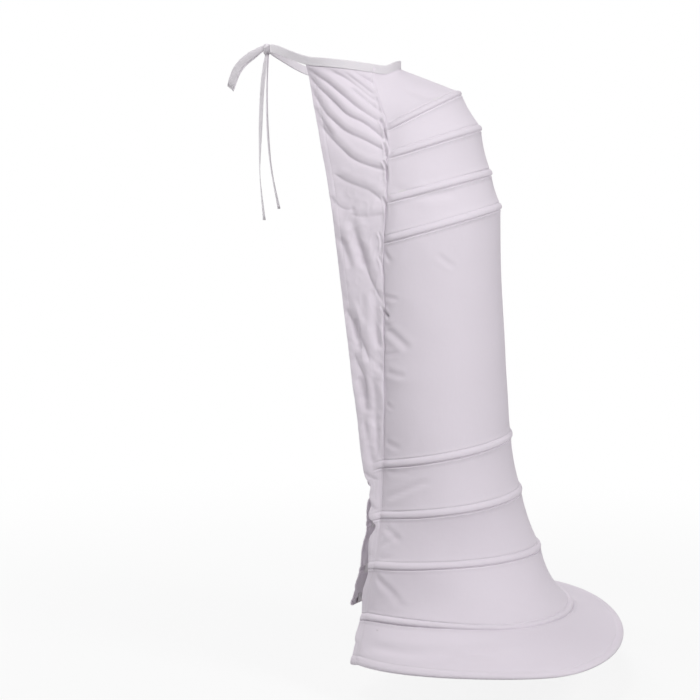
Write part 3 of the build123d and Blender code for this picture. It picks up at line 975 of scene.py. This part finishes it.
class CrinolineSidePanels(Operator):
    """Sews both side panels, with the folds that fall from the waistband and a turned front hem"""

    bl_idname = "crinoline.side_panels"
    bl_label = "Side panels"

    def execute(self, context):
        settings = context.scene.crinoline_cotton
        for side, strength, seed in (("left", 1.0, 11), ("right", 0.85, 21)):
            outer, outward, thickness = side_panel_grid(settings, strength, seed)
            if side == "right":
                outer, outward, thickness = mirrored(outer), mirrored(outward), thickness[:, ::-1]
            piece = offset_piece(f"{side}_side_panel_cotton", outer, outward, thickness)
            placed(piece, cotton_material(), "white_cotton", f"{side}_side_panel")
            made[f"{side}_side"] = (outer, outward)
        return {"FINISHED"}


# Across a casing tape: the places of its points, and how much thinner each face is there
CASING_STEPS = np.array([-9, -8.7, -7.5, -6, -3, 0, 3, 6, 7.5, 8.7, 9]) / 1000
CASING_THINNING = np.array([0.25, 0.05, 0, 0, 0, 0, 0, 0, 0, 0.05, 0.25]) / 1000
CASING_STITCH_ROWS = (3, 7)


def casing_grid(number):
    """Outer face of a casing tape, against the cloth's inner face and straight across the channel."""
    here, up, down = level_frame(back_line, number)
    places = np.linspace(0, 1, 181)
    face = np.array([drawn(across_channel(here, up, down, step), places) for step in CASING_STEPS])
    return face, outward_of(face)


class CrinolineCasings(Operator):
    """Sews the twill tapes that close the hoops' channels inside"""

    bl_idname = "crinoline.casings"
    bl_label = "Casing tapes"

    def execute(self, context):
        for number in range(1, HEM):
            face, outward = casing_grid(number)
            edges = CASING_THINNING[:, None, None]
            outer = face - outward * (CLOTH + CLEARANCE + edges)
            inner = face - outward * (CLOTH + TAPE - edges)
            piece = cloth_piece(f"casing_tape_{number}", outer, inner)
            placed(piece, tape_material(), "twill_tape", f"casing_{number}")
            made[f"casing_{number}"] = (inner, outward)
        return {"FINISHED"}


class CrinolineHemFacing(Operator):
    """Sews the tape that is turned up inside the hem round its steel"""

    bl_idname = "crinoline.hem_facing"
    bl_label = "Hem facing"

    def execute(self, context):
        edge, up, down = level_frame(back_line, HEM)
        along = unit(cloth_line(HEM, ROW_PLACES + 0.001) - cloth_line(HEM, ROW_PLACES - 0.001))
        away = unit(np.cross(down, along))
        deep = CLOTH + HEM_SPACE + TAPE / 2
        flat = CLOTH + TAPE / 2 + CLEARANCE
        outline = (
            (FACING_DEPTH, flat), (0.0185, flat), (0.017, flat), (HEM_STITCH + 0.0003, flat),
            (0.0128, flat + 0.0011), (0.0116, deep), (0.009, deep + 0.0002), (0.006, deep + 0.0002),
            (0.003, deep), (0.0012, deep - 0.0002), (0.0003, deep - 0.0008),
        )
        places = np.linspace(0, 1, 241)
        middle = np.array([drawn(edge + up * rise - away * depth, places) for rise, depth in outline])
        outward = outward_of(middle)
        outer, inner = tape_sides(middle, outward)
        piece = cloth_piece("hem_facing_tape", outer, inner)
        placed(piece, tape_material(), "twill_tape", "hem_facing")
        made["facing"] = (inner, outward)
        return {"FINISHED"}


# Where the band's tape ends at the front, and how far back the photograph shows its front
BAND_END_ANGLE = 1.5
BAND_FRONT_SHIFT = 0.005


class CrinolineWaistband(Operator):
    """Folds the waistband's tape over the panels' top edges"""

    bl_idname = "crinoline.waistband"
    bl_label = "Waistband"

    def execute(self, context):
        degrees, places = np.linspace(BAND_END_ANGLE, 360 - BAND_END_ANGLE, 37), np.linspace(0, 1, 321)
        half_gap = 0.0009
        top = BAND_HEIGHT / 2 - half_gap
        legs = np.array([-6.5, -5.9, -4.0, -2.0, 0.5, 3.0, 5.0]) / 1000
        turn = np.linspace(0, pi, 7)
        section = [(half_gap, rise) for rise in legs]
        section += [(half_gap * cos(angle), top + half_gap * sin(angle)) for angle in turn]
        section += [(-half_gap, rise) for rise in legs[::-1]]
        middle = np.array([drawn(waist_line(degrees, outward, rise), places) for outward, rise in section])
        round_waist = drawn(waist_line(degrees), places)
        middle += unit(round_waist * [1, 1, 0]) * 0.00035 * waviness(round_waist, 0.02, 31)[:, None]
        middle[..., 2] += 0.0005 * waviness(round_waist, 0.05, 32)
        middle[..., 1] += BAND_FRONT_SHIFT * smooth_step((-0.06 - middle[..., 1]) / 0.045)
        outward = outward_of(middle[::-1])[::-1]
        outer, inner = tape_sides(middle, outward)
        piece = cloth_piece("waistband_tape", inner, outer)
        placed(piece, band_material(), "band_tape", "waistband")
        made["band"] = (outer, outward)
        return {"FINISHED"}


# Ties
def reach_along(line):
    """Distance along a line of points from its start."""
    return np.concatenate([[0], np.cumsum(np.linalg.norm(np.diff(line, axis=0), axis=1))])


def smooth_route(name, points):
    """Points along the smooth line that has these control points."""
    data = bpy.data.curves.new(name, "CURVE")
    data.dimensions = "3D"
    spline = data.splines.new("NURBS")
    spline.points.add(len(points) - 1)
    for control, point in zip(spline.points, points):
        control.co = (*point, 1)
    spline.order_u = 3
    spline.use_endpoint_u = True
    spline.resolution_u = 14
    guide = linked(name, data)
    bpy.context.view_layer.update()
    mesh = bpy.data.meshes.new_from_object(guide.evaluated_get(bpy.context.evaluated_depsgraph_get()))
    line = np.array([vertex.co[:] for vertex in mesh.vertices])
    bpy.data.objects.remove(guide)
    bpy.data.curves.remove(data)
    bpy.data.meshes.remove(mesh)
    return line


def ribbon(name, route, width_way, twist, width, folded_end=0):
    """Tape along a smooth route. twist turns its width about the line, in degrees at shares of its length."""
    line = smooth_route(name + "_line", route)
    reach = reach_along(line)
    share = reach / reach[-1]
    tangent = unit(np.gradient(line, axis=0))
    way = unit(np.array(width_way) - tangent * (tangent @ np.array(width_way))[:, None])
    face = np.cross(tangent, way)
    turn = np.radians(np.interp(share, *zip(*twist)))[:, None]
    way, face = way * np.cos(turn) + face * np.sin(turn), face * np.cos(turn) - way * np.sin(turn)
    breadth = np.interp(share, *zip(*width))
    across = np.linspace(-0.5, 0.5, 9)
    folded = smooth_step((share - 1 + folded_end) / 0.006) if folded_end else np.zeros_like(share)
    thickness = TAPE * (1 + 0.9 * folded)
    cup = 0.0006 * (1 - 4 * across**2)
    middle = np.array([line + way * (breadth * a)[:, None] + face * c for a, c in zip(across, cup)])
    edge = np.where(np.abs(across) > 0.49, 0.5, 1.0)[:, None, None]
    half = face * (thickness / 2)[:, None] * edge
    return cloth_piece(name, middle - half, middle + half), line


def hanging(start, turn, steps):
    """Route of a tail that swings in one upright plane, from (forward, down) steps."""
    swing = np.array([sin(radians(turn)), -cos(radians(turn)), 0])
    return [np.array(start) + swing * forward - np.array([0, 0, down]) for forward, down in steps]


LEFT_TAIL_TURN = 26.0
RIGHT_TAIL_TURN = 15.0
LEFT_TAIL = hanging((0.001, -0.1074, 0.004), LEFT_TAIL_TURN, (
    (0, 0), (0.006, 0.035), (0.010, 0.087), (0.012, 0.143), (0.013, 0.201), (0.005, 0.265)))
RIGHT_TAIL = hanging((-0.001, -0.1044, 0.004), RIGHT_TAIL_TURN, (
    (0, 0), (0.0025, 0.039), (0.003, 0.089), (0.001, 0.139), (-0.005, 0.195), (-0.0165, 0.247)))
LOOP_START = np.array([0, -0.112, 0.013])
LOOP_DROOP = radians(49.3)

# Reach from the knot, step across, and height of the arch, from the knot to the fold and back
LOOP_STEPS = (
    (-0.001, 0.003, 0), (0.026, 0.0075, 0.0095), (0.053, 0.0105, 0.0115), (0.079, 0.010, 0.001),
    (0.0855, 0, -0.003),
    (0.079, -0.010, 0.001), (0.053, -0.0105, 0.0105), (0.026, -0.0075, 0.0085), (-0.001, -0.003, 0))
KNOT_HALF_SIZE = (0.0098, 0.0068, 0.0092)
KNOT_PLACE = (0, -0.1067, 0.011)


class CrinolineTies(Operator):
    """Ties the half bow: a knot, one drooping loop and two hanging tails"""

    bl_idname = "crinoline.ties"
    bl_label = "Waist ties"

    def hung(self, piece, node, route, line, length, far_end):
        placed(piece, band_material(), "band_tape", node)

    def tail(self, side, route, turn, twist, length):
        way = (cos(radians(turn)), sin(radians(turn)), 0)
        width = ((0, RIBBON_WIDTH * 0.7), (0.06, RIBBON_WIDTH), (1, RIBBON_WIDTH))
        piece, line = ribbon(f"{side}_tail_tape", route, way, twist, width, folded_end=0.03)
        self.hung(piece, f"{side}_tie_tail", route, line, length, "bare")

    def execute(self, context):
        left_twist = ((0, -4), (0.15, -12), (0.45, -4), (0.73, 24), (1, 4))
        right_twist = ((0, 4), (0.2, 2), (0.5, -4), (0.8, 4), (1, -6))
        self.tail("left", LEFT_TAIL, LEFT_TAIL_TURN, left_twist, 0.265)
        self.tail("right", RIGHT_TAIL, RIGHT_TAIL_TURN, right_twist, 0.249)
        self.loop()
        self.knot()
        return {"FINISHED"}

    def loop(self):
        out = np.array([0, -cos(LOOP_DROOP), -sin(LOOP_DROOP)])
        width_way = np.array([0, -sin(LOOP_DROOP), cos(LOOP_DROOP)])
        route = []
        for reach, across, arch in LOOP_STEPS:
            route.append(LOOP_START + out * reach + width_way * arch + np.array([across, 0, 0]))
        twist = ((0, 0), (0.25, 8), (0.5, 0), (0.75, -10), (1, 0))
        width = ((0, 0.0075), (0.12, RIBBON_WIDTH), (0.88, RIBBON_WIDTH), (1, 0.0075))
        piece, line = ribbon("bow_loop_tape", route, width_way, twist, width)
        self.hung(piece, "tie_loop", route, line, 0.176, "object")

    def knot(self):
        """Tape wrapped round the ties: a crowned pad drawn in by the turn across its middle."""
        bpy.ops.object.select_all(action="DESELECT")
        bpy.ops.mesh.primitive_uv_sphere_add(segments=64, ring_count=48, radius=1.0, rotation=(0, pi / 2, 0))
        piece = bpy.context.object
        piece.name = "tie_knot_tape"
        bpy.ops.object.transform_apply(location=False, rotation=True, scale=False)
        points = np.array([vertex.co[:] for vertex in piece.data.vertices])
        level, turn = points[:, 0], np.arctan2(points[:, 2], points[:, 1])
        girth = np.clip(1 - level**2, 0, 1) ** 0.28
        wrap = smooth_step((0.36 - np.abs(level)) / 0.06)
        pleats = 0.08 * np.sin(7 * turn + 2 * level) * (1 - wrap) * girth
        pinch = 0.09 * bell((np.abs(level) - 0.45) / 0.08)
        swell = 0.84 + 0.15 * wrap + pleats - pinch + 0.03 * np.sin(3 * turn + 1)
        ring = [np.sign(wave) * np.abs(wave) ** 0.8 for wave in (np.cos(turn), np.sin(turn))]
        wide, deep, tall = KNOT_HALF_SIZE
        shaped = np.stack([wide * level, deep * ring[0] * girth * swell, tall * ring[1] * girth * swell], -1)
        lean = np.array(Euler((0, radians(8), 0)).to_matrix())
        shaped = shaped @ lean.T + KNOT_PLACE
        piece.data.vertices.foreach_set("co", shaped.ravel())
        weave = piece.data.uv_layers[0]
        weave.name = "weave"
        scaled = np.array([corner.uv[:] for corner in weave.data]) * [0.048, 0.024]
        weave.data.foreach_set("uv", scaled.ravel())
        bpy.ops.object.shade_smooth()
        placed(piece, band_material(), "band_tape", "tie_knot")


# The hoops that have an inner tie, and how far each tie bows back
INNER_TIES = {2: 0.050, 4: 0.046, 6: 0.030, 8: 0.026}

# The ties' ends: place round the hoop, distance below it, and gap between end and cloth
INNER_TIE_PLACE = 0.02
INNER_TIE_DROP = 0.024
INNER_TIE_GAP = 0.0012


def inner_tie_line(number):
    """Where the left end of an inner tie lies round a hoop."""
    return cloth_line(number, np.array([INNER_TIE_PLACE]))


class CrinolineInnerTies(Operator):
    """Sews the tapes that cross inside and hold the hoops' bent shape"""

    bl_idname = "crinoline.inner_ties"
    bl_label = "Inner ties"

    def execute(self, context):
        for count, (number, bow) in enumerate(INNER_TIES.items(), 1):
            here, _, down = level_frame(inner_tie_line, number)
            end = (here + down * INNER_TIE_DROP)[0]
            clear_half = end[0] - INNER_TIE_GAP
            x = np.linspace(clear_half, -clear_half, 61)
            share = x / end[0]
            sag = 0.0025 * (1 - share**2)
            lean = 0.0016 * np.sin(2.2 * share + count)
            y = end[1] + bow * (1 - share**2)
            rows = []
            for side in np.linspace(1, -1, 9):
                rows.append(np.stack([x, y + lean * side, end[2] + side * RIBBON_WIDTH / 2 - sag], -1))
            middle = np.array(rows)
            piece = cloth_piece(f"inner_tie_tape_{count}", *tape_sides(middle, outward_of(middle)))
            placed(piece, tape_material(), "twill_tape", f"inner_tie_{count}")
        return {"FINISHED"}


# Stitches: a stitch's share of the pitch, and how far it lies above the cloth in threads
STITCH_SHARE = 0.86
STITCH_LIFT = 0.2


def stitch_shape(length, thread):
    """One stitch lying along X: a thread that thins into the cloth at both ends."""
    bpy.ops.object.select_all(action="DESELECT")
    upright = (0, pi / 2, 0)
    bpy.ops.mesh.primitive_circle_add(vertices=5, radius=thread / 2, fill_type="NGON", rotation=upright)
    stitch = bpy.context.object
    bpy.ops.object.transform_apply(location=False, rotation=True, scale=False)
    bpy.ops.object.mode_set(mode="EDIT")
    bpy.ops.mesh.select_all(action="SELECT")
    bpy.ops.mesh.duplicate()
    bpy.ops.mesh.flip_normals()
    bpy.ops.mesh.select_all(action="SELECT")
    bpy.ops.mesh.poke(offset=length / 2)
    bpy.ops.mesh.select_all(action="SELECT")
    bpy.ops.mesh.remove_doubles(threshold=thread / 100)
    bpy.ops.mesh.normals_make_consistent(inside=False)
    bpy.ops.object.mode_set(mode="OBJECT")
    points = np.array([vertex.co[:] for vertex in stitch.data.vertices])
    faces = np.array([polygon.vertices[:] for polygon in stitch.data.polygons])
    mesh = stitch.data
    bpy.data.objects.remove(stitch)
    bpy.data.meshes.remove(mesh)
    return points, faces


def stitch_places(line, ways, pitch):
    """Middle, direction and outward way of each stitch along a line."""
    reach = reach_along(line)
    count = max(int(reach[-1] / pitch), 1)
    at = (np.arange(count) + 0.5) * reach[-1] / count

    def found(values, places):
        return np.stack([np.interp(places, reach, column) for column in values.T], -1)

    ahead, behind = found(line, at + pitch / 3), found(line, at - pitch / 3)
    return found(line, at), unit(ahead - behind), unit(found(ways, at))


def sew(name, lines, slot):
    """Adds all the stitches along several lines, as copies of one stitch in one mesh."""
    settings = bpy.context.scene.crinoline_stitches
    points, faces = stitch_shape(settings.pitch * STITCH_SHARE, settings.thread)
    all_points, all_faces, first = [], [], 0
    for line, ways in lines:
        middles, ahead, out = stitch_places(line, ways, settings.pitch)
        beside = unit(np.cross(out, ahead))
        out = np.cross(ahead, beside)
        lifted = middles + out * settings.thread * STITCH_LIFT
        copies = (lifted[:, None] + points[None, :, 0, None] * ahead[:, None]
                  + points[None, :, 1, None] * beside[:, None] + points[None, :, 2, None] * out[:, None])
        count = len(middles)
        all_points.append(copies.reshape(-1, 3))
        shift = first + np.arange(count)[:, None, None] * len(points)
        all_faces.append((faces[None] + shift).reshape(-1, faces.shape[1]))
        first += count * len(points)
    piece = linked(name, smooth_mesh(name, np.concatenate(all_points), np.concatenate(all_faces)))
    placed(piece, shared_material("sewing_thread", thread_material, settings), slot)


def nearest_row(bays, number, step):
    """Row of a panel's grid nearest to a step across a hoop or up from the hem."""
    rows = row_facts(bays)
    return int(np.argmin(np.where(rows.hoop == number, np.abs(rows.step - step), 1.0)))


# Columns of the side panels' grids that are sewn: at the front hem, and beside the seam
SIDE_STITCH_COLUMNS = {"left_side": (5, -4), "right_side": (-6, 3)}


class CrinolineStitches(Operator):
    """Sews every visible stitch line: channels, hem, seams, front hems and waistband"""

    bl_idname = "crinoline.stitches"
    bl_label = "Stitches"

    def execute(self, context):
        channels, inside = self.channel_lines()
        sew("channel_stitches", channels, "white_cotton")
        sew("casing_stitches", inside, "twill_tape")
        sew("side_panel_stitches", self.side_lines(), "white_cotton")
        band, band_out = made["band"]
        sew("waistband_stitches", [(band[1], band_out[1]), (band[-2], band_out[-2])], "band_tape")
        return {"FINISHED"}

    def channel_lines(self):
        """The lines beside each channel and above the hem, on the back panel and on the tapes inside."""
        outer, outward = made["back"]
        channels, inside = [], []
        for number in range(1, HEM):
            for step in (-CHANNEL_HALF, CHANNEL_HALF):
                row = nearest_row(BACK_BAYS, number, step)
                channels.append((outer[row], outward[row]))
            tape, tape_out = made[f"casing_{number}"]
            for row in CASING_STITCH_ROWS:
                inside.append((tape[row], -tape_out[row]))
        row = nearest_row(BACK_BAYS, HEM, HEM_STITCH)
        channels.append((outer[row], outward[row]))
        facing, facing_out = made["facing"]
        inside.append((facing[1], -facing_out[1]))
        return channels, inside

    def side_lines(self):
        """The front hem, the seam and the hem of each side panel."""
        edges = []
        for side, (front, seam) in SIDE_STITCH_COLUMNS.items():
            grid, out = made[side]
            hem_row = nearest_row(SIDE_BAYS, HEM, HEM_STITCH)
            edges += [(grid[2:, front], out[2:, front]), (grid[2:, seam], out[2:, seam])]
            edges.append((grid[hem_row], out[hem_row]))
        return edges


class CrinolineSteels(Operator):
    """Gives the steels and their crimped tips a rolled metal finish"""

    bl_idname = "crinoline.steels"
    bl_label = "Steels and tips"

    def execute(self, context):
        settings = context.scene.crinoline_steel
        spring = metal("rolled_steel", settings.colour, 0.34, 900.0)
        brass = metal("pressed_brass", settings.tip_colour, 0.3, 300.0)
        for name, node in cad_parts.items():
            if "steel" in name:
                material = brass if name == "steel_tips" else spring
                for slot in node.material_slots:
                    slot.material = material
        return {"FINISHED"}


LAMP_TARGET = (0, 0.12, -0.45)
SENSOR_WIDTH = 36.0


class CrinolineStage(Operator):
    """Sets up the pale floor, the soft lamps, the white surround and the camera"""

    bl_idname = "crinoline.stage"
    bl_label = "Stage"

    def lamp(self, name, place, size, power):
        data = bpy.data.lights.new(name, "AREA")
        data.size = size
        data.energy = power
        lamp = linked(name, data)
        lamp.location = place
        lamp.visible_camera = False
        lamp.rotation_euler = (Vector(LAMP_TARGET) - Vector(place)).to_track_quat("-Z", "Y").to_euler()

    def background_rays(self, tree):
        """1 for what the camera, mirrors and glass see of the surround."""
        rays = add_node(tree, "LightPath").outputs
        seen = calculated(tree, "MAXIMUM", rays["Is Camera Ray"], rays["Is Glossy Ray"])
        return calculated(tree, "MAXIMUM", seen, rays["Is Transmission Ray"])

    def blend(self, tree, share, first, second, output):
        """Leads a mix of two shaders to a tree's output node."""
        mix = add_node(tree, "MixShader", {"Fac": share, 1: first.outputs[0], 2: second.outputs[0]})
        tree.links.new(mix.outputs[0], tree.nodes[output].inputs["Surface"])

    def floor(self, height):
        bpy.ops.object.select_all(action="DESELECT")
        bpy.ops.mesh.primitive_plane_add(size=24, location=(0, 0, height))
        floor = bpy.context.object
        floor.name = "studio_floor"
        bpy.ops.object.transform_apply(location=True, rotation=False, scale=False)
        material = bpy.data.materials.new("studio_floor")
        material.use_nodes = True
        tree = material.node_tree
        matt = tree.nodes["Principled BSDF"]
        matt.inputs["Base Color"].default_value = (0.62, 0.62, 0.62, 1)
        matt.inputs["Roughness"].default_value = 1.0
        glow = add_node(tree, "Emission", {"Color": (1, 1, 1, 1), "Strength": 1.0})
        reach = add_node(tree, "VectorMath", {0: object_place(tree)}, operation="LENGTH").outputs["Value"]
        fade = add_node(tree, "MapRange", {
            "Value": reach, "From Min": 0.9, "From Max": 2.4, "To Min": 0.86, "To Max": 1.0,
        }, interpolation_type="SMOOTHSTEP").outputs["Result"]
        share = calculated(tree, "MULTIPLY", self.background_rays(tree), fade)
        self.blend(tree, share, matt, glow, "Material Output")
        floor.data.materials.append(material)

    def surround(self, brightness):
        world = bpy.data.worlds.new("studio")
        world.use_nodes = True
        tree = world.node_tree
        room = tree.nodes["Background"]
        room.inputs["Color"].default_value = (1, 1, 1, 1)
        room.inputs["Strength"].default_value = brightness
        white = add_node(tree, "Background", {"Color": (1, 1, 1, 1), "Strength": 1.0})
        self.blend(tree, self.background_rays(tree), room, white, "World Output")
        bpy.context.scene.world = world

    def camera(self):
        data = bpy.data.cameras.new("photograph")
        data.sensor_width = SENSOR_WIDTH
        data.lens = FOCAL_PIXELS * SENSOR_WIDTH / (2 * MIDDLE_PIXEL)
        camera = linked("photograph", data)
        camera.location = EYE
        camera.rotation_euler = (pi / 2 - PITCH, 0, pi / 2)
        bpy.context.scene.camera = camera

    def execute(self, context):
        settings = context.scene.crinoline_stage
        self.floor(cad_box[0][2] - settings.floor_gap)
        self.lamp("main_lamp", (1.6, -0.3, 1.75), 0.6, settings.key_power)
        self.lamp("side_lamp", (1.8, 2.0, 0.9), 0.9, settings.side_power)
        self.lamp("fill_lamp", (-2.4, -0.8, 1.3), 1.8, settings.fill_power)
        self.lamp("front_lamp", (-0.5, -2.3, 0.5), 1.2, settings.front_power)
        self.surround(settings.surround)
        self.camera()
        context.scene.view_settings.view_transform = "Standard"
        return {"FINISHED"}


PIECES = (
    CrinolineStage, CrinolineBackPanel, CrinolineSidePanels, CrinolineCasings, CrinolineHemFacing,
    CrinolineWaistband, CrinolineTies, CrinolineInnerTies, CrinolineStitches, CrinolineSteels,
)
SETTINGS = {
    "crinoline_cotton": CottonSettings,
    "crinoline_tape": TapeSettings,
    "crinoline_stitches": StitchSettings,
    "crinoline_steel": SteelSettings,
    "crinoline_stage": StageSettings,
}


class VIEW3D_PT_crinoline(Panel):
    """Lists the crinoline's settings and the steps that build it"""

    bl_label = "Crinoline"
    bl_idname = "VIEW3D_PT_crinoline"
    bl_space_type = "VIEW_3D"
    bl_region_type = "UI"
    bl_category = "Crinoline"

    def draw(self, context):
        layout = self.layout
        for name, group in SETTINGS.items():
            box = layout.box()
            settings = getattr(context.scene, name)
            for field in group.__annotations__:
                box.prop(settings, field)
        for piece in PIECES:
            layout.operator(piece.bl_idname)


def register():
    for group in SETTINGS.values():
        bpy.utils.register_class(group)
    for piece in (*PIECES, VIEW3D_PT_crinoline):
        bpy.utils.register_class(piece)
    for name, group in SETTINGS.items():
        setattr(bpy.types.Scene, name, PointerProperty(type=group))


def unregister():
    for name in SETTINGS:
        delattr(bpy.types.Scene, name)
    for kind in (VIEW3D_PT_crinoline, *PIECES, *SETTINGS.values()):
        bpy.utils.unregister_class(kind)


def main():
    register()
    for piece in PIECES:
        group, name = piece.bl_idname.split(".")
        getattr(getattr(bpy.ops, group), name)()


if __name__ == "__main__":
    main()
